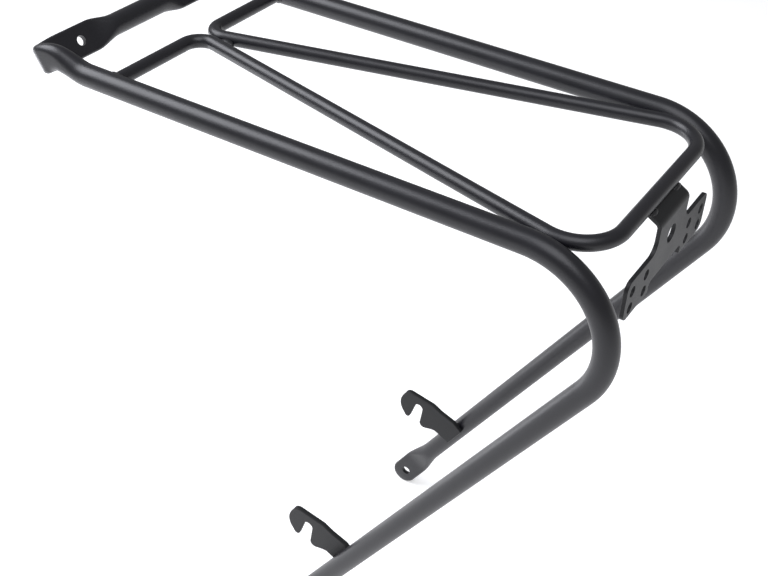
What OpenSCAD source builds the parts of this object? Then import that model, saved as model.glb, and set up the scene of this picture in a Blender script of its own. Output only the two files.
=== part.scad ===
// Rear carrier for a city bicycle: a bent tube frame with a welded deck loop,
// a stamped rear light bracket and two hook plates for bag springs.
// Frame: +X is the rider's right, +Y is forward, +Z is up.
// The origin is midway between the eyelets at the lower ends of the legs.

/* [Frame tube] */
// Outer diameter of the bent frame tube
tube_d = 12; // [10:0.5:14]
// Distance between the two rails, centre to centre
rail_gap = 140; // [130:1:170]
// Height of the rails above the leg eyelets
rail_h = 336; // [320:1:360]
// Slope of the legs, measured from the horizontal
leg_angle = 58; // [54:1:64]
// Centreline radius of the bend from rail to leg
rear_bend_r = 43; // [36:1:48]
// Thickness of the tube where it is pressed flat
flat_t = 2.8; // [2.4:0.1:3.2]

/* [Legs] */
// Bolt hole in each leg end
eyelet_d = 6.5; // [5.3:0.1:6.6]
// How far the rounded tip's centre lies past the bolt hole
tip_over = 3; // [0:0.5:5]
// Length of the flat part above the bolt hole
foot_flat = 13; // [11:0.5:18]
// Length over which the leg goes from flat to round
foot_taper = 24; // [12:1:26]

/* [Front end] */
// Where the straight rails end, forward of the leg eyelets
rail_front = 116.5; // [112:0.5:122]
// Upward slope of the short hump in front of the deck
hump_angle = 18.5; // [10:0.5:24]
// Centreline radius at the start of the hump
hump_r = 25; // [20:1:32]
// Straight length of the rising part
hump_rise = 8.6; // [6:0.2:12]
// Centreline radius over the top of the hump
nose_r = 14; // [12:0.5:18]
// Slope of the seat stays that the front pads lie against
stay_angle = 58.8; // [56:0.2:72]
// Radius of the folded corner, at the middle of the flattened tube
fold_r = 7; // [5:0.5:9]
// Bolt hole in each front pad
pad_hole_d = 5.5; // [5.3:0.1:6.6]
// Distance between the front bolt holes
pad_hole_gap = 86; // [80:1:92]
// Flat length from each hole inwards to the start of the round bar
pad_inner = 8.5; // [7:0.5:12]
// Length over which the front bar goes from flat to round
pad_taper = 17; // [12:1:20]

/* [Deck] */
// Diameter of the deck loop
deck_d = 7.5; // [6:0.5:8]
// Front crossing, forward of the leg eyelets
deck_front = 102; // [96:1:106]
// Rear crossing, behind the leg eyelets
deck_back = 163; // [158:1:168]
// Radius of the two bends in the middle of the front crossing
deck_front_r = 10; // [9:0.5:14]
// Radius of the two rear corners of the loop
deck_rear_r = 21; // [18:1:24]
// Gap between the two front bends
deck_mid_gap = 1; // [0.5:0.1:3]

/* [Light bracket] */
// Sheet thickness
bracket_t = 2; // [1.5:0.5:3]
// Distance of the bracket's rear face behind the leg eyelets
bracket_back = 172; // [171:0.5:174]
// Width of the neck
neck_w = 33; // [30:1:38]
// Width across the wings
wing_w = 93; // [90:1:100]
// Top edge of the wings, below the rail centreline
wing_top = 20.8; // [19:0.1:22]
// Height of the wings
wing_h = 21; // [18:0.5:24]
// Height of the notch in the bottom edge, between the wings
notch_h = 5.5; // [4:0.5:7]
// Hole for a single-bolt light or reflector
centre_hole_d = 9.3; // [8:0.1:10]
// Light bolt holes
light_hole_d = 5.3; // [5.1:0.1:5.5]
// Height between the two rows of light bolt holes
light_row_gap = 9; // [8:0.5:10]

/* [Hook plates] */
// Plate thickness
hook_t = 3; // [2:0.5:4]
// Distance from the eyelet to the middle of the plate, along the leg
hook_up = 73; // [68:1:90]
// Width of the slot that takes the spring
hook_slot_w = 6.2; // [5:0.2:7]

/* [Hidden] */
$fn = 64;
satin_black = [0.16, 0.16, 0.18];
bead_black = [0.2, 0.2, 0.22];

tube_r = tube_d / 2;
half_gap = rail_gap / 2;
// Half thickness and half width of the flattened tube; its outline keeps its length
flat_b = flat_t / 2;
flat_a = flat_b + PI * (tube_r - flat_b) / 2;

// Leg line: it starts at the eyelet and meets the rail line at the virtual corner
corner_y = -rail_h / tan(leg_angle);
corner_len = rail_h / sin(leg_angle);
turn = 180 - leg_angle;
bend_len = rear_bend_r * tan(turn / 2);
rail_back = corner_y + bend_len;
leg_len = corner_len - bend_len;
foot_top = foot_flat + foot_taper;

// Front path, in arc length from the end of the straight rail
deg = PI / 180;
s_hump = hump_r * hump_angle * deg;
s_rise = s_hump + hump_rise;
nose_drop = 90 - stay_angle;
s_nose = s_rise + nose_r * (hump_angle + nose_drop) * deg;
// The pressed tube stays flush with the rail's outer side, so its middle moves out
press_out = tube_r - flat_b;
s_fold = s_nose + (fold_r - press_out) * 90 * deg;
ring_sides = 24;

// Slope of the path at arc length s, up being positive
function pitch(s) =
    s < s_hump ? hump_angle * s / s_hump :
    s < s_rise ? hump_angle :
    s < s_nose ? hump_angle - (hump_angle + nose_drop) * (s - s_rise) / (s_nose - s_rise) :
    -nose_drop;
// Inward turn of the path at arc length s
function yaw(s) = s < s_nose ? 0 : min(90, 90 * (s - s_nose) / (s_fold - s_nose));
function heading(s) = [sin(yaw(s)), cos(yaw(s)) * cos(pitch(s)), cos(yaw(s)) * sin(pitch(s))];
function upward(s) = [0, -sin(pitch(s)), cos(pitch(s))];

// Positions along the path, summed from short steps at their middle headings
path_steps = 96;
path_step = s_fold / path_steps;
function walk(i, p) = i == path_steps ? [p] :
    concat([p], walk(i + 1, p + path_step * heading((i + 0.5) * path_step)));
front_path = walk(0, [-half_gap, rail_front, rail_h]);
pad_start = front_path[path_steps] + press_out * [0, cos(nose_drop), -sin(nose_drop)];
bar_y = pad_start[1];
bar_z = pad_start[2];

// Share of the flattening at arc length s: 0 is round, 1 is flat
press_from = s_hump + 2;
function ease(t) = t < 0 ? 0 : t > 1 ? 1 : t * t * (3 - 2 * t);
function pressed(s) = ease((s - press_from) / (s_nose - press_from));

// One ring of a pressed tube: half thickness along side, half width along up
function ring(centre, side, up, share, r) =
    let (b = r + (flat_b - r) * share, a = b + PI * (r - b) / 2)
    [for (i = [0:ring_sides - 1])
        let (t = (i + 0.5) * 360 / ring_sides,
             u = b * sin(t) + (sin(t) > 0 ? a - b : b - a))
        centre + side * b * cos(t) + up * u];

// Closed skin over a list of rings
module skin(rings) {
    n = len(rings[0]);
    last = len(rings) - 1;
    polyhedron(
        points = [for (r = rings) each r],
        faces = concat(
            [[for (i = [0:n - 1]) i]],
            [for (k = [0:last - 1], i = [0:n - 1])
                let (j = (i + 1) % n) [k * n + i, (k + 1) * n + i, (k + 1) * n + j]],
            [for (k = [0:last - 1], i = [0:n - 1])
                let (j = (i + 1) % n) [k * n + i, (k + 1) * n + j, k * n + j]],
            [[for (i = [n - 1:-1:0]) last * n + i]]));
}

// Tube bend as a faceted skin: starts at the origin heading along +Y and turns towards -X.
// Its ends lie a hair inside the straight tubes and lap into them.
skin_play = 0.02;
lap = 0.5;
module bend(r, angle, tube, sides, step) {
    steps = ceil(angle / step);
    lap_angle = lap / r / deg;
    skin([for (k = [0:steps])
        let (a = -lap_angle + (angle + 2 * lap_angle) * k / steps)
        [for (i = [0:sides - 1])
            let (t = -(i + 0.5) * 360 / sides, d = r + (tube - skin_play) * cos(t))
            [d * cos(a) - r, d * sin(a), (tube - skin_play) * sin(t)]]]);
}

// Plate of flattened tube along +X with its width along Y, from x0 to x1
module flat_strip(x0, x1) {
    translate([x0, 0, 0])
        rotate([90, 0, 90])
            linear_extrude(height = x1 - x0) {
                square([2 * (flat_a - flat_b), flat_t], center = true);
                for (side = [-1, 1])
                    translate([side * (flat_a - flat_b), 0])
                        circle(d = flat_t);
            }
}

// Leg frame on one side: +Z runs up the leg from the eyelet, +Y points forward and up
module on_leg(side) {
    translate([side * half_gap, 0, 0])
        rotate([90 - leg_angle, 0, 0])
            children();
}

// Frame of the rear bend on one side: it starts at the rail's rear end and turns down to the leg
module at_rear_bend(side) {
    translate([side * half_gap, rail_back, rail_h])
        rotate([0, -90, 180])
            children();
}

// Straight rail on one side
module rail(side) {
    translate([side * half_gap, rail_back, rail_h])
        rotate([-90, 0, 0])
            cylinder(h = rail_front - rail_back, d = tube_d);
}

// Taper from a flat tube to a round one, along +Z, width along Y, lapping both by lap
taper_rings = 8;
module taper(length) {
    skin([for (k = [0:taper_rings])
        let (z = -lap + (length + 2 * lap) * k / taper_rings)
        ring([0, 0, z], [1, 0, 0], [0, 1, 0], ease(1 - z / length), tube_r - skin_play)]);
}

// Pressed leg end with its rounded tip and eyelet
module foot(side) {
    on_leg(side)
        difference() {
            rotate([90, 0, 90])
                linear_extrude(height = flat_t, center = true) {
                    translate([0, -tip_over])
                        circle(r = flat_a);
                    translate([-flat_a, -tip_over])
                        square([2 * flat_a, foot_flat + tip_over]);
                }
            rotate([0, 90, 0])
                cylinder(h = tube_d, d = eyelet_d, center = true);
        }
    on_leg(side)
        translate([0, 0, foot_flat])
            taper(foot_taper);
}

module side_tube(side) {
    color(satin_black) {
        rail(side);
        at_rear_bend(side)
            bend(rear_bend_r, turn, tube_r, ring_sides, 6);
        on_leg(side)
            translate([0, 0, foot_top])
                cylinder(h = leg_len - foot_top, d = tube_d);
        foot(side);
    }
}

// Pad frame: +X inwards along the bar, +Y up the seat stay, +Z out of the pad's rear face
module on_bar(side) {
    translate([0, bar_y, bar_z])
        mirror([side > 0 ? 1 : 0, 0, 0])
            rotate([stay_angle, 0, 0])
                children();
}

// One end of the front bar: hump, folded corner and pad, up to the round bar
corner_rings = 30;
module bar_end(side) {
    pad_edge = pad_hole_gap / 2 - pad_inner;
    mirror([side > 0 ? 1 : 0, 0, 0])
        skin(concat(
            [for (k = [0:corner_rings])
                let (i = round(k * path_steps / corner_rings), s = i * path_step,
                     outward = cross(upward(s), heading(s)))
                ring(front_path[i] + outward * press_out * pressed(s), outward, upward(s),
                    pressed(s), tube_r - skin_play)],
            [ring(pad_start + [lap, 0, 0], cross(upward(s_fold), [1, 0, 0]), upward(s_fold), 1,
                tube_r - skin_play)]));
    on_bar(side)
        difference() {
            flat_strip(pad_start[0], -pad_edge);
            translate([-pad_hole_gap / 2, 0, 0])
                cylinder(h = tube_d, d = pad_hole_d, center = true);
        }
    on_bar(side)
        translate([-pad_edge, 0, 0])
            rotate([0, 90, 0])
                taper(pad_taper);
}

module front_bar() {
    bar_half = pad_hole_gap / 2 - pad_inner - pad_taper;
    color(satin_black) {
        for (side = [-1, 1])
            bar_end(side);
        translate([-bar_half, bar_y, bar_z])
            rotate([0, 90, 0])
                cylinder(h = 2 * bar_half, d = tube_d);
    }
}

// Deck loop: circle centres of the two bends on the left, and the line that joins them
front_c = [-(deck_d + deck_mid_gap) / 2 - deck_front_r, deck_front - deck_front_r];
rear_c = [-(half_gap - tube_r - deck_d / 2) + deck_rear_r, deck_rear_r - deck_back];
bends = deck_front_r + deck_rear_r;
span = front_c - rear_c;
slant = atan(span[0] / span[1]) + asin(bends / norm(span));
slant_len = sqrt(pow(norm(span), 2) - pow(bends, 2));

module deck_half() {
    translate([tube_r - half_gap, deck_front, 0])
        rotate([0, 90, 0])
            cylinder(h = half_gap - tube_r + front_c[0], d = deck_d);
    translate(front_c)
        rotate([0, 0, -slant]) {
            translate([deck_front_r, 0, 0])
                bend(deck_front_r, 90 + slant, deck_d / 2, deck_sides, 8);
            translate([deck_front_r, 0, 0])
                rotate([90, 0, 0])
                    cylinder(h = slant_len, d = deck_d);
        }
    translate(rear_c)
        rotate([0, 0, 180 - slant])
            translate([deck_rear_r, 0, 0])
                bend(deck_rear_r, 90 + slant, deck_d / 2, deck_sides, 8);
}

deck_sides = 20;
module deck_loop() {
    color(satin_black)
        translate([0, 0, rail_h]) {
            for (side = [0, 1])
                mirror([side, 0, 0])
                    deck_half();
            translate([rear_c[0], -deck_back, 0])
                rotate([0, 90, 0])
                    cylinder(h = -2 * rear_c[0], d = deck_d);
        }
}

// Points along an arc, for outlines
function arc(centre, r, from, to) =
    [for (i = [0:8])
        let (a = from + (to - from) * i / 8)
        centre + r * [cos(a), sin(a)]];

// Light bracket: bent sheet seen from the side, in Y and Z, with its tab reaching under the loop
tab_r = 4;
tab_turn = 60;
tab_len = 5;
tab_z = rail_h - 9;
tab_centre = [tab_r - bracket_back, tab_z];
tab_along = [sin(tab_turn), cos(tab_turn)];
module sheet_section() {
    outer = arc(tab_centre, tab_r, 180, 180 - tab_turn);
    inner = arc(tab_centre, tab_r - bracket_t, 180 - tab_turn, 180);
    polygon(concat(
        [[-bracket_back, tab_z - 50]],
        outer,
        [outer[8] + tab_len * tab_along, inner[0] + tab_len * tab_along],
        inner,
        [[bracket_t - bracket_back, tab_z - 50]]));
}

// Bracket outline, in X and Z below the rail centreline
wing_r = 4.5;
neck_fillet = 6;
function outline_half() =
    let (n = neck_w / 2, w = wing_w / 2, low = -wing_top - wing_h, m = n + 2, k = 2.5)
    concat(
        [[n, 0]],
        arc([n + neck_fillet, neck_fillet - wing_top], neck_fillet, 180, 270),
        arc([w - wing_r, -wing_top - wing_r], wing_r, 90, 0),
        arc([w - wing_r, low + wing_r], wing_r, 0, -90),
        [[m, low]],
        arc([m - k, low + notch_h - k], k, 0, 90));
module bracket_outline() {
    right = outline_half();
    left = [for (i = [len(right) - 1:-1:0]) [-right[i][0], right[i][1]]];
    translate([0, rail_h])
        polygon(concat(right, left));
}

light_z = rail_h - wing_top - 7;
light_cols = [25, 40];
centre_hole_z = rail_h - 19.5;
module light_bracket() {
    color(satin_black)
        difference() {
            intersection() {
                rotate([90, 0, 90])
                    linear_extrude(height = 2 * wing_w, center = true)
                        sheet_section();
                translate([0, -bracket_back + 20, 0])
                    rotate([90, 0, 0])
                        linear_extrude(height = 40)
                            bracket_outline();
            }
            translate([0, -bracket_back, centre_hole_z])
                rotate([90, 0, 0])
                    cylinder(h = 4 * bracket_t, d = centre_hole_d, center = true);
            for (sx = [-1, 1], col = light_cols, row = [0, 1])
                translate([sx * col, -bracket_back, light_z - row * light_row_gap])
                    rotate([90, 0, 0])
                        cylinder(h = 4 * bracket_t, d = light_hole_d, center = true);
        }
}

// Hook plate outline: x runs out from the leg, y runs up the leg from the plate's middle
hook_lobe = [18.8, -12.4];
slot_top = [29.1, -4.9];
slot_tilt = -19;
module hook_outline() {
    polygon(concat(
        [[-1.5, -8], [10.4, -9.2], [12.6, -10.8]],
        arc(hook_lobe, 3.4, 215, 350),
        arc(slot_top, hook_slot_w / 2, 180 + slot_tilt, slot_tilt),
        arc([31.2, -17.6], 2, 160, 290),
        arc([30.3, -6.6], 12.4, -72, 6),
        arc([37.9, -3.2], 4.9, 8, 68),
        [[24, 7.8], [17, 8.3], [7, 10.6], [-1.5, 9.5]]));
}

module hook_plate(side) {
    color(satin_black)
        on_leg(side)
            translate([side > 0 ? -tube_r - hook_t : tube_r, 0, hook_up])
                rotate([90, 0, 90])
                    linear_extrude(height = hook_t)
                        hook_outline();
}

// Weld bead: a round-ended rod along +Y, centred
module bead(r, length) {
    rotate([90, 0, 0])
        cylinder(h = length, r = r, center = true);
    for (end = [-1, 1])
        translate([0, end * length / 2, 0])
            sphere(r = r);
}

// Fillet ring where the front crossing meets a rail
module weld_deck_front(side) {
    color(bead_black)
        difference() {
            translate([side * (half_gap - tube_r - 2.6), deck_front, rail_h])
                rotate([0, side * 90, 0])
                    cylinder(h = 5.6, r1 = deck_d / 2 + 0.4, r2 = deck_d / 2 + 2.6);
            translate([0, deck_front, rail_h])
                rotate([0, side * 90, 0])
                    cylinder(h = half_gap, d = deck_d);
            rail(side);
        }
}

// Bead in the groove under a rear corner of the loop, clear of both tubes
module weld_deck_rear(side) {
    color(bead_black)
        translate([side * (half_gap - tube_r - 0.5), rear_c[1] + 4.5, rail_h - 4.3])
            bead(1.5, 4);
}

// Short bead that ties the two diagonals together just behind the front bends
module weld_deck_tie() {
    color(bead_black)
        difference() {
            translate([0, front_c[1] - 7, rail_h - 0.6])
                bead(2.7, 4);
            for (side = [0, 1])
                mirror([side, 0, 0])
                    translate([front_c[0], front_c[1], rail_h])
                        rotate([0, 0, -slant])
                            translate([deck_front_r, 0, 0])
                                rotate([90, 0, 0])
                                    cylinder(h = slant_len, d = deck_d);
        }
}

module weld_bracket(side) {
    color(bead_black)
        difference() {
            translate([side * 13, -166.1, rail_h - 3.9])
                rotate([0, 0, 90])
                    bead(1.7, 4);
            translate([-half_gap / 2, -deck_back, rail_h])
                rotate([0, 90, 0])
                    cylinder(h = half_gap, d = deck_d);
            light_bracket();
        }
}

// Bead along the foot of a hook plate, on the leg's inner face
module weld_hook(side) {
    color(bead_black)
        difference() {
            on_leg(side)
                translate([-side * (tube_r - 0.5), 3.6, hook_up + 1])
                    rotate([90, 0, 0])
                        bead(1.6, 15);
            on_leg(side)
                cylinder(h = leg_len, d = tube_d);
            hook_plate(side);
        }
}

side_tube(-1);  // side_tube_left
side_tube(1);  // side_tube_right
front_bar();
deck_loop();
light_bracket();
hook_plate(-1);  // hook_plate_left
hook_plate(1);  // hook_plate_right
weld_deck_front(-1);  // weld_deck_front_left
weld_deck_front(1);  // weld_deck_front_right
weld_deck_rear(-1);  // weld_deck_rear_left
weld_deck_rear(1);  // weld_deck_rear_right
weld_deck_tie();
weld_bracket(-1);  // weld_bracket_left
weld_bracket(1);  // weld_bracket_right
weld_hook(-1);  // weld_hook_left
weld_hook(1);  // weld_hook_right
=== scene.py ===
import bpy
import math
from mathutils import Matrix, Vector, noise


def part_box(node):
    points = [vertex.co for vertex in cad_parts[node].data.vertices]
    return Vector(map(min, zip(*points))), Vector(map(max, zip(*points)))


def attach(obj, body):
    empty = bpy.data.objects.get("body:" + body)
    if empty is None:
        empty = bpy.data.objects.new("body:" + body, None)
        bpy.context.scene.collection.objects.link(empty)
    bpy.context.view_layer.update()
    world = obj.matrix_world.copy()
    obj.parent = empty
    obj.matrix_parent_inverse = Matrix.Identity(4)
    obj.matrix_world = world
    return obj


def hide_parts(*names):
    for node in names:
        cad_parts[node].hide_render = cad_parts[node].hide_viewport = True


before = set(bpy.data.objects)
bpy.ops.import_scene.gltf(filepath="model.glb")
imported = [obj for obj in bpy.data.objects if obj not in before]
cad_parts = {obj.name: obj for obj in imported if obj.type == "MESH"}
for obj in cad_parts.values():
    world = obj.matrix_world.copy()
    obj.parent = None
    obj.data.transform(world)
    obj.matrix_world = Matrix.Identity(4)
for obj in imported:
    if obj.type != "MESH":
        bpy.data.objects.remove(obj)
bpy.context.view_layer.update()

mm = 0.001
print("frame loaded")


# camera: from behind and to the left of the carrier, looking down on it
view = {
    "place": (-435.34, -294.20, 612.66),
    "turn": 1.008,       # towards +X from straight ahead
    "dip": 0.655,        # below the horizon
    "roll": -0.033,
    "lens": 54.432,
}


def placeCamera():
    a, b, c = view["turn"], view["dip"], view["roll"]
    ahead = Vector((math.sin(a) * math.cos(b), math.cos(a) * math.cos(b), -math.sin(b)))
    right = Vector((math.cos(a), -math.sin(a), 0))
    down = ahead.cross(right)
    rightRolled = math.cos(c) * right + math.sin(c) * down
    downRolled = -math.sin(c) * right + math.cos(c) * down
    turn = Matrix((rightRolled, -downRolled, -ahead)).transposed()
    bpy.ops.object.camera_add()
    camera = bpy.context.object
    camera.name = "mainCamera"
    camera.matrix_world = Matrix.Translation(Vector(view["place"]) * mm) @ turn.to_4x4()
    camera.data.lens = view["lens"]
    camera.data.sensor_width = 36
    camera.data.clip_start = 0.01
    bpy.context.scene.camera = camera


placeCamera()


# helpers for working as by hand
def deselectAll():
    if bpy.context.object and bpy.context.object.mode == "EDIT":
        bpy.ops.object.mode_set(mode="OBJECT")
    bpy.ops.object.select_all(action="DESELECT")


def pick(piece):
    deselectAll()
    piece.select_set(True)
    bpy.context.view_layer.objects.active = piece


def applyPlace(piece):
    pick(piece)
    bpy.ops.object.transform_apply(location=True, rotation=True, scale=True)


def addModifier(piece, kind, **values):
    pick(piece)
    modifier = piece.modifiers.new(kind.title(), kind)
    for key, value in values.items():
        setattr(modifier, key, value)
    bpy.ops.object.modifier_apply(modifier=modifier.name)


def tidyFaces(piece):
    pick(piece)
    bpy.ops.object.mode_set(mode="EDIT")
    bpy.ops.mesh.select_all(action="SELECT")
    bpy.ops.mesh.remove_doubles(threshold=0.00001)
    bpy.ops.mesh.normals_make_consistent(inside=False)
    bpy.ops.object.mode_set(mode="OBJECT")


def smoothShade(piece, degrees):
    pick(piece)
    bpy.ops.object.shade_smooth_by_angle(angle=math.radians(degrees))


# bent tubes: a ring that is extruded along straights and spun round bends
class TubeRun:
    def __init__(self, name, sides, radius, start, heading, up):
        deselectAll()
        self.sides, self.radius = sides, radius
        self.here, self.heading, self.up = Vector(start), Vector(heading).normalized(), Vector(up)
        self.rings = []
        bpy.ops.mesh.primitive_circle_add(vertices=sides, radius=radius * mm)
        self.piece = bpy.context.object
        self.piece.name = name
        side = self.up.cross(self.heading)
        turn = Matrix((side, self.up, -self.heading)).transposed().to_4x4()
        half = Matrix.Rotation(math.pi / sides, 4, "Z")
        self.piece.matrix_world = Matrix.Translation(self.here * mm) @ turn @ half
        applyPlace(self.piece)
        self.note()
        bpy.ops.object.mode_set(mode="EDIT")
        bpy.ops.mesh.select_all(action="SELECT")

    def note(self):
        side = self.up.cross(self.heading)
        self.rings.append((self.here.copy(), side, self.up.copy()))

    def straight(self, length, cuts=1):
        for _ in range(cuts):
            step = self.heading * (length / cuts)
            bpy.ops.mesh.extrude_region_move(TRANSFORM_OT_translate={"value": step * mm})
            self.here = self.here + step
            self.note()

    def bend(self, radius, degrees, axis, steps):
        axis = Vector(axis).normalized()
        inward = axis.cross(self.heading) * (1 if degrees > 0 else -1)
        centre = self.here + inward * radius
        angle = math.radians(degrees)
        bpy.ops.mesh.spin(steps=steps, angle=-angle, center=centre * mm, axis=axis)
        start, heading, up = self.here - centre, self.heading, self.up
        for k in range(1, steps + 1):
            turn = Matrix.Rotation(angle * k / steps, 3, axis)
            self.here, self.heading, self.up = centre + turn @ start, turn @ heading, turn @ up
            self.note()

    def done(self):
        bpy.ops.object.mode_set(mode="OBJECT")
        return self.piece


def capAndMirror(piece, sides):
    # closes the first ring, then mirrors the half tube over the middle
    pick(piece)
    bpy.ops.object.mode_set(mode="EDIT")
    bpy.ops.mesh.select_all(action="DESELECT")
    bpy.ops.object.mode_set(mode="OBJECT")
    for v in piece.data.vertices[:sides]:
        v.select = True
    bpy.ops.object.mode_set(mode="EDIT")
    bpy.ops.mesh.edge_face_add()
    bpy.ops.object.mode_set(mode="OBJECT")
    addModifier(piece, "MIRROR", use_axis=(True, False, False), use_mirror_merge=True,
                merge_threshold=0.0001)
    tidyFaces(piece)


def ease(t):
    t = min(max(t, 0), 1)
    return t * t * (3 - 2 * t)


def pressRings(run, share, thickness, shrink, shift):
    # presses each ring flat by its share; the outline keeps its length
    half = thickness / 2
    for k, (centre, side, up) in enumerate(run.rings):
        s, narrow = share(k), shrink(k)
        moved = centre + side * shift(k)
        r = run.radius
        b = r + (half - r) * s
        a = b + math.pi * (r - b) / 2
        for v in run.piece.data.vertices[k * run.sides:(k + 1) * run.sides]:
            off = v.co / mm - centre
            x, y = off.dot(side) / r, off.dot(up) / r
            u = (b * y + math.copysign(a - b, y)) * narrow
            edge = 1 - hoop["tipThin"] * (1 - narrow)
            v.co = (moved + side * (b * x * edge) + up * u) * mm


# sizes in mm and degrees; ringCuts says how many steps each length gets
hoop = {
    "railX": 70, "railZ": 336, "tube": 12, "sides": 48, "legAngle": 58, "rearBend": 43,
    "railFront": 116.5, "flat": 2.8, "tipOver": 3, "footFlat": 13, "footTaper": 24, "eyelet": 6.5,
    "humpAngle": 18.5, "humpBend": 25, "humpRise": 8.6, "noseBend": 14, "foldBend": 7,
    "stayAngle": 58.8,
    "padHole": 5.5, "padHoleX": 43, "padInner": 8.5, "padTaper": 17,
    "pressPast": 12, "tipThin": 0.35, "pressLead": 3,
}
ringCuts = {
    "tip": 12, "footFlat": 6, "footTaper": 14, "leg": 4, "rearBend": 40, "rail": 4, "humpBend": 8,
    "humpRise": 6, "noseBend": 14, "foldBend": 16, "pad": 20, "padTaper": 14, "bar": 3,
}


def cutHole(piece, centre, direction, diameter, depth=14):
    deselectAll()
    bpy.ops.mesh.primitive_cylinder_add(vertices=48, radius=diameter / 2 * mm, depth=depth * mm)
    drill = bpy.context.object
    turn = Vector(direction).to_track_quat("Z", "Y").to_matrix().to_4x4()
    drill.matrix_world = Matrix.Translation(Vector(centre) * mm) @ turn
    applyPlace(drill)
    addModifier(piece, "BOOLEAN", operation="DIFFERENCE", object=drill, solver="EXACT")
    bpy.data.objects.remove(drill)


def makeHoop():
    h = hoop
    r = h["tube"] / 2
    legTurn = math.radians(h["legAngle"])
    up = Vector((0, -math.sin(legTurn), -math.cos(legTurn)))
    leg = Vector((0, -math.cos(legTurn), math.sin(legTurn)))
    corner = h["railZ"] / math.sin(legTurn)
    bendLength = h["rearBend"] * math.tan((math.pi - legTurn) / 2)
    legLength = corner - bendLength
    railBack = -h["railZ"] / math.tan(legTurn) + bendLength
    flatHalf = h["flat"] / 2 + math.pi * (r - h["flat"] / 2) / 2
    tip = Vector((-h["railX"], 0, 0)) - leg * (h["tipOver"] + flatHalf)
    run = TubeRun("frameTube", h["sides"], r, tip, leg, up)
    tipSteps = ringCuts["tip"]
    turnStep = math.pi / 2 / tipSteps
    for k in range(1, tipSteps + 1):
        run.straight(flatHalf * (math.cos(turnStep * (k - 1)) - math.cos(turnStep * k)))
    run.straight(h["tipOver"] + h["footFlat"], ringCuts["footFlat"])
    footEnd = len(run.rings) - 1
    run.straight(h["footTaper"], ringCuts["footTaper"])
    taperEnd = len(run.rings) - 1
    run.straight(legLength - h["footFlat"] - h["footTaper"], ringCuts["leg"])
    run.bend(h["rearBend"], -(180 - h["legAngle"]), (1, 0, 0), ringCuts["rearBend"])
    run.straight(h["railFront"] - railBack, ringCuts["rail"])
    run.bend(h["humpBend"], h["humpAngle"], (1, 0, 0), ringCuts["humpBend"])
    pressStart = len(run.rings) - h["pressLead"]
    run.straight(h["humpRise"], ringCuts["humpRise"])
    drop = h["humpAngle"] + 90 - h["stayAngle"]
    run.bend(h["noseBend"], -drop, (1, 0, 0), ringCuts["noseBend"])
    pressOut = r - h["flat"] / 2     # keeps the pressed tube flush with the rail's outer side
    run.bend(h["foldBend"] - pressOut, -90, run.up, ringCuts["foldBend"])
    foldEnd = len(run.rings) - 1
    padEdge = h["padHoleX"] - h["padInner"]
    run.straight(-padEdge - run.here.x, ringCuts["pad"])
    padEnd = len(run.rings) - 1
    run.straight(h["padTaper"], ringCuts["padTaper"])
    run.straight(-run.here.x, ringCuts["bar"])
    piece = run.done()
    rings = run.rings
    print("frame tube rings:", len(rings), "bar centre:", [round(x, 2) for x in run.here])

    lengths = [0]
    for a, b in zip(rings, rings[1:]):
        lengths.append(lengths[-1] + (b[0] - a[0]).length)

    def share(k):
        s = lengths[k]
        if k <= taperEnd:
            return 1 - ease((s - lengths[footEnd]) / h["footTaper"])
        if k < pressStart:
            return 0
        if k <= padEnd:
            pressLength = lengths[foldEnd] + h["pressPast"] - lengths[pressStart]
            return ease((s - lengths[pressStart]) / pressLength)
        return 1 - ease((s - lengths[padEnd]) / h["padTaper"])

    def narrow(k):
        if k >= tipSteps:
            return 1
        return max(math.sin(math.pi / 2 * k / tipSteps), 0.03)

    def shift(k):
        if k < pressStart:
            return 0
        return pressOut * share(k) if k <= padEnd else pressOut

    pressRings(run, share, h["flat"], narrow, shift)
    capAndMirror(piece, h["sides"])
    bar = run.here + run.up.cross(run.heading) * pressOut
    stay = math.radians(h["stayAngle"])
    padNormal = Vector((0, -math.sin(stay), math.cos(stay)))
    for side in (-1, 1):
        cutHole(piece, (side * h["railX"], 0, 0), (1, 0, 0), h["eyelet"])
        cutHole(piece, (side * h["padHoleX"], bar.y, bar.z), padNormal, h["padHole"])
    smoothShade(piece, 40)
    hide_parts("side_tube_left", "side_tube_right", "front_bar")
    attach(piece, "root")
    return piece


frameTube = makeHoop()
print("frame tube made:", len(frameTube.data.polygons), "faces")

deck = {
    "tube": 7.5, "sides": 32, "front": 102, "back": 163, "frontBend": 10, "rearBend": 21, "gap": 1,
    "intoRail": 4, "startCuts": 3, "frontCuts": 24, "slantCuts": 4, "rearCuts": 32, "backCuts": 2,
}
railInside = hoop["railX"] - hoop["tube"] / 2


def deckLine():
    # the straight that joins the two bends on the left
    d = deck
    front = Vector((-(d["tube"] + d["gap"]) / 2 - d["frontBend"], d["front"] - d["frontBend"]))
    rear = Vector((-(railInside - d["tube"] / 2) + d["rearBend"], d["rearBend"] - d["back"]))
    span = front - rear
    both = d["frontBend"] + d["rearBend"]
    slant = math.atan(span.x / span.y) + math.asin(both / span.length)
    return front, rear, slant, math.sqrt(span.length ** 2 - both ** 2)


def makeDeck():
    d = deck
    front, rear, slant, length = deckLine()
    start = Vector((-railInside - d["intoRail"], d["front"], hoop["railZ"]))
    run = TubeRun("deckLoop", d["sides"], d["tube"] / 2, start, (1, 0, 0), (0, 0, 1))
    turn = 90 + math.degrees(slant)
    run.straight(front.x - start.x, d["startCuts"])
    run.bend(d["frontBend"], -turn, (0, 0, 1), d["frontCuts"])
    run.straight(length, d["slantCuts"])
    run.bend(d["rearBend"], turn, (0, 0, 1), d["rearCuts"])
    run.straight(-run.here.x, d["backCuts"])
    piece = run.done()
    capAndMirror(piece, d["sides"])
    smoothShade(piece, 40)
    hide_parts("deck_loop")
    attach(piece, "root")
    return piece


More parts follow.
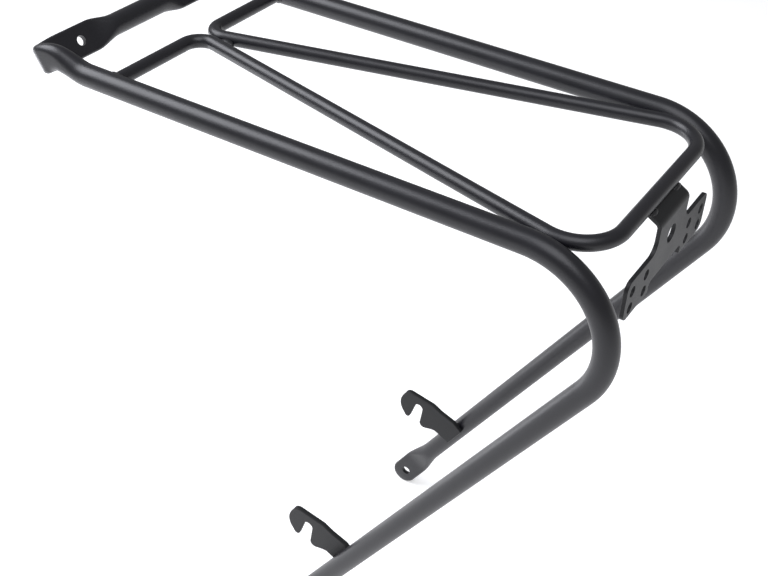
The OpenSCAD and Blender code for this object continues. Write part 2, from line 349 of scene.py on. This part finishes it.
deckLoop = makeDeck()
print("deck loop made:", len(deckLoop.data.polygons), "faces")


# sheet parts: copied from the frame, merged, and given rolled edges
sheet = {
    "bracketEdge": 0.4, "hookEdge": 0.6, "segments": 3,
    "flatAngle": 2, "edgeAngle": 50, "shadeAngle": 42,
}


def roundedCopy(node, name, bevel):
    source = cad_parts[node]
    piece = bpy.data.objects.new(name, source.data.copy())
    bpy.context.scene.collection.objects.link(piece)
    tidyFaces(piece)
    addModifier(piece, "DECIMATE", decimate_type="DISSOLVE",
                angle_limit=math.radians(sheet["flatAngle"]))
    addModifier(piece, "BEVEL", width=bevel * mm, segments=sheet["segments"], limit_method="ANGLE",
                angle_limit=math.radians(sheet["edgeAngle"]), use_clamp_overlap=True)
    addModifier(piece, "TRIANGULATE")
    smoothShade(piece, sheet["shadeAngle"])
    addModifier(piece, "WEIGHTED_NORMAL", keep_sharp=True)
    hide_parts(node)
    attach(piece, "root")
    return piece


lightBracket = roundedCopy("light_bracket", "lightBracket", sheet["bracketEdge"])
hookPlates = [roundedCopy("hook_plate_left", "hookPlateLeft", sheet["hookEdge"]),
              roundedCopy("hook_plate_right", "hookPlateRight", sheet["hookEdge"])]
print("sheet parts made")


# weld beads
bead = {
    "ripple": 0.18, "rippleScale": 900, "ringMajor": 4.0, "ringMinor": 1.0, "saddleEdge": 5.9,
    "deckRear": (1.5, 4.2, 1.5), "bracket": (3.6, 1.6, 1.6), "deckTie": (2.6, 4.6, 2.5),
}


def rippleBead(piece, amount):
    for v in piece.data.vertices:
        n = noise.noise(v.co * bead["rippleScale"])
        v.co += v.normal * n * amount * mm


def finishBead(piece, node):
    tidyFaces(piece)
    rippleBead(piece, bead["ripple"])
    smoothShade(piece, 70)
    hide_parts(node)
    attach(piece, "root")


def makeDeckFrontBead(side):
    # a fillet ring whose foot follows the round rail
    deselectAll()
    bpy.ops.mesh.primitive_torus_add(
        major_radius=bead["ringMajor"] * mm, minor_radius=bead["ringMinor"] * mm,
        major_segments=48, minor_segments=16)
    piece = bpy.context.object
    piece.name = "deckFrontBead" + ("Left" if side < 0 else "Right")
    place = Vector((side * railInside, deck["front"], hoop["railZ"])) * mm
    piece.matrix_world = Matrix.Translation(place) @ Matrix.Rotation(math.pi / 2, 4, "Y")
    applyPlace(piece)
    railRadius = hoop["tube"] / 2
    for v in piece.data.vertices:
        z = min(abs(v.co.z / mm - hoop["railZ"]), bead["saddleEdge"])
        v.co.x += side * (railRadius - math.sqrt(railRadius ** 2 - z * z)) * mm
    finishBead(piece, "weld_deck_front_" + ("left" if side < 0 else "right"))
    return piece


def makeLongBead(name, node, half):
    low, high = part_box(node)
    centre = (low + high) / 2
    deselectAll()
    bpy.ops.mesh.primitive_uv_sphere_add(segments=32, ring_count=20, radius=1)
    piece = bpy.context.object
    piece.name = name
    piece.matrix_world = Matrix.Translation(centre) @ Matrix.Diagonal((*[x * mm for x in half], 1))
    applyPlace(piece)
    finishBead(piece, node)
    return piece


beads = [makeDeckFrontBead(-1), makeDeckFrontBead(1)]
for side in ("Left", "Right"):
    low = side.lower()
    beads.append(makeLongBead("deckRearBead" + side, "weld_deck_rear_" + low, bead["deckRear"]))
    beads.append(makeLongBead("bracketBead" + side, "weld_bracket_" + low, bead["bracket"]))
beads.append(makeLongBead("deckTieBead", "weld_deck_tie", bead["deckTie"]))
print("beads made:", len(beads))


# finishes: satin powder coat over steel
coat = {"cloudScale": 60, "cloudDetail": 4, "tintLow": 0.3, "tintHigh": 0.75, "glossSwing": 0.05,
        "peelScale": 1400, "peelDetail": 3, "peelDepth": 0.0002}


def powderCoat(name, colour, roughness, mottle, peel, shine=0.5):
    material = bpy.data.materials.new(name)
    material.use_nodes = True
    nodes, links = material.node_tree.nodes, material.node_tree.links
    shader = nodes["Principled BSDF"]
    place = nodes.new("ShaderNodeTexCoord")
    cloud = nodes.new("ShaderNodeTexNoise")
    cloud.inputs["Scale"].default_value = coat["cloudScale"]
    cloud.inputs["Detail"].default_value = coat["cloudDetail"]
    tint = nodes.new("ShaderNodeValToRGB")
    tint.color_ramp.elements[0].position = coat["tintLow"]
    tint.color_ramp.elements[0].color = (*[c * (1 - mottle) for c in colour], 1)
    tint.color_ramp.elements[1].position = coat["tintHigh"]
    tint.color_ramp.elements[1].color = (*[c * (1 + mottle) for c in colour], 1)
    gloss = nodes.new("ShaderNodeMapRange")
    gloss.inputs["To Min"].default_value = roughness - coat["glossSwing"]
    gloss.inputs["To Max"].default_value = roughness + coat["glossSwing"]
    grain = nodes.new("ShaderNodeTexNoise")
    grain.inputs["Scale"].default_value = coat["peelScale"]
    grain.inputs["Detail"].default_value = coat["peelDetail"]
    bump = nodes.new("ShaderNodeBump")
    bump.inputs["Strength"].default_value = peel
    bump.inputs["Distance"].default_value = coat["peelDepth"]
    links.new(place.outputs["Object"], cloud.inputs["Vector"])
    links.new(place.outputs["Object"], grain.inputs["Vector"])
    links.new(cloud.outputs["Fac"], tint.inputs["Fac"])
    links.new(tint.outputs["Color"], shader.inputs["Base Color"])
    links.new(cloud.outputs["Fac"], gloss.inputs["Value"])
    links.new(gloss.outputs["Result"], shader.inputs["Roughness"])
    links.new(grain.outputs["Fac"], bump.inputs["Height"])
    links.new(bump.outputs["Normal"], shader.inputs["Normal"])
    shader.inputs["Specular IOR Level"].default_value = shine
    return material


tubeBlack = powderCoat("tubeBlack", (0.0065, 0.0065, 0.0095), 0.37, 0.12, 0.2)
sheetBlack = powderCoat("sheetBlack", (0.009, 0.0095, 0.0105), 0.5, 0.14, 0.25, 0.35)
weldBlack = powderCoat("weldBlack", (0.007, 0.007, 0.009), 0.36, 0.2, 0.4)


def dress(piece, material):
    piece.data.materials.clear()
    piece.data.materials.append(material)


dress(frameTube, tubeBlack)
dress(deckLoop, tubeBlack)
for piece in [lightBracket, *hookPlates]:
    dress(piece, sheetBlack)
for piece in beads:
    dress(piece, weldBlack)
for node in ("weld_hook_left", "weld_hook_right"):
    dress(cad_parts[node], weldBlack)
    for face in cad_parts[node].data.polygons:
        face.use_smooth = True
print("finishes set")


# floor, soft lights and sky
room = {"floorZ": -11.9, "floorSize": 40, "floorGlow": 0.4, "floorTone": 0.88, "sky": 0.31}
lampColour = (0.93, 0.94, 1.0)


def makeRoom():
    deselectAll()
    bpy.ops.mesh.primitive_plane_add(size=room["floorSize"], location=(0, 0, room["floorZ"] * mm))
    floor = bpy.context.object
    floor.name = "floor"
    paper = bpy.data.materials.new("whitePaper")
    paper.use_nodes = True
    shader = paper.node_tree.nodes["Principled BSDF"]
    shader.inputs["Base Color"].default_value = (*[room["floorTone"]] * 3, 1)
    shader.inputs["Roughness"].default_value = 1
    shader.inputs["Specular IOR Level"].default_value = 0
    shader.inputs["Emission Color"].default_value = (1, 1, 1, 1)
    shader.inputs["Emission Strength"].default_value = room["floorGlow"]
    dress(floor, paper)
    world = bpy.context.scene.world or bpy.data.worlds.new("sky")
    bpy.context.scene.world = world
    world.use_nodes = True
    sky = world.node_tree.nodes["Background"]
    sky.inputs["Color"].default_value = (1, 1, 1, 1)
    sky.inputs["Strength"].default_value = room["sky"]


lamps = [
    {"name": "topSoftbox", "place": (-0.5, -0.3, 1.45), "aim": (0, 0, 0.3),
     "size": 1.0, "power": 10},
    {"name": "frontSoftbox", "place": (-0.35, 1.0, 1.25), "aim": (0, 0, 0.3),
     "size": 1.0, "power": 22},
    {"name": "lowSoftbox", "place": (-0.04, 0.62, 0.06), "aim": (-0.074, 0.15, 0.335),
     "size": 0.3, "power": 1},
]


def makeLamp(lamp):
    bpy.ops.object.light_add(type="AREA", location=lamp["place"])
    light = bpy.context.object
    light.name = lamp["name"]
    light.data.shape = "SQUARE"
    light.data.size = lamp["size"]
    light.data.energy = lamp["power"]
    light.data.color = lampColour
    aim = Vector(lamp["aim"]) - Vector(lamp["place"])
    light.rotation_euler = aim.to_track_quat("-Z", "Y").to_euler()


makeRoom()
deselectAll()
for lamp in lamps:
    makeLamp(lamp)
bpy.context.scene.view_settings.view_transform = "Standard"
print("room set")
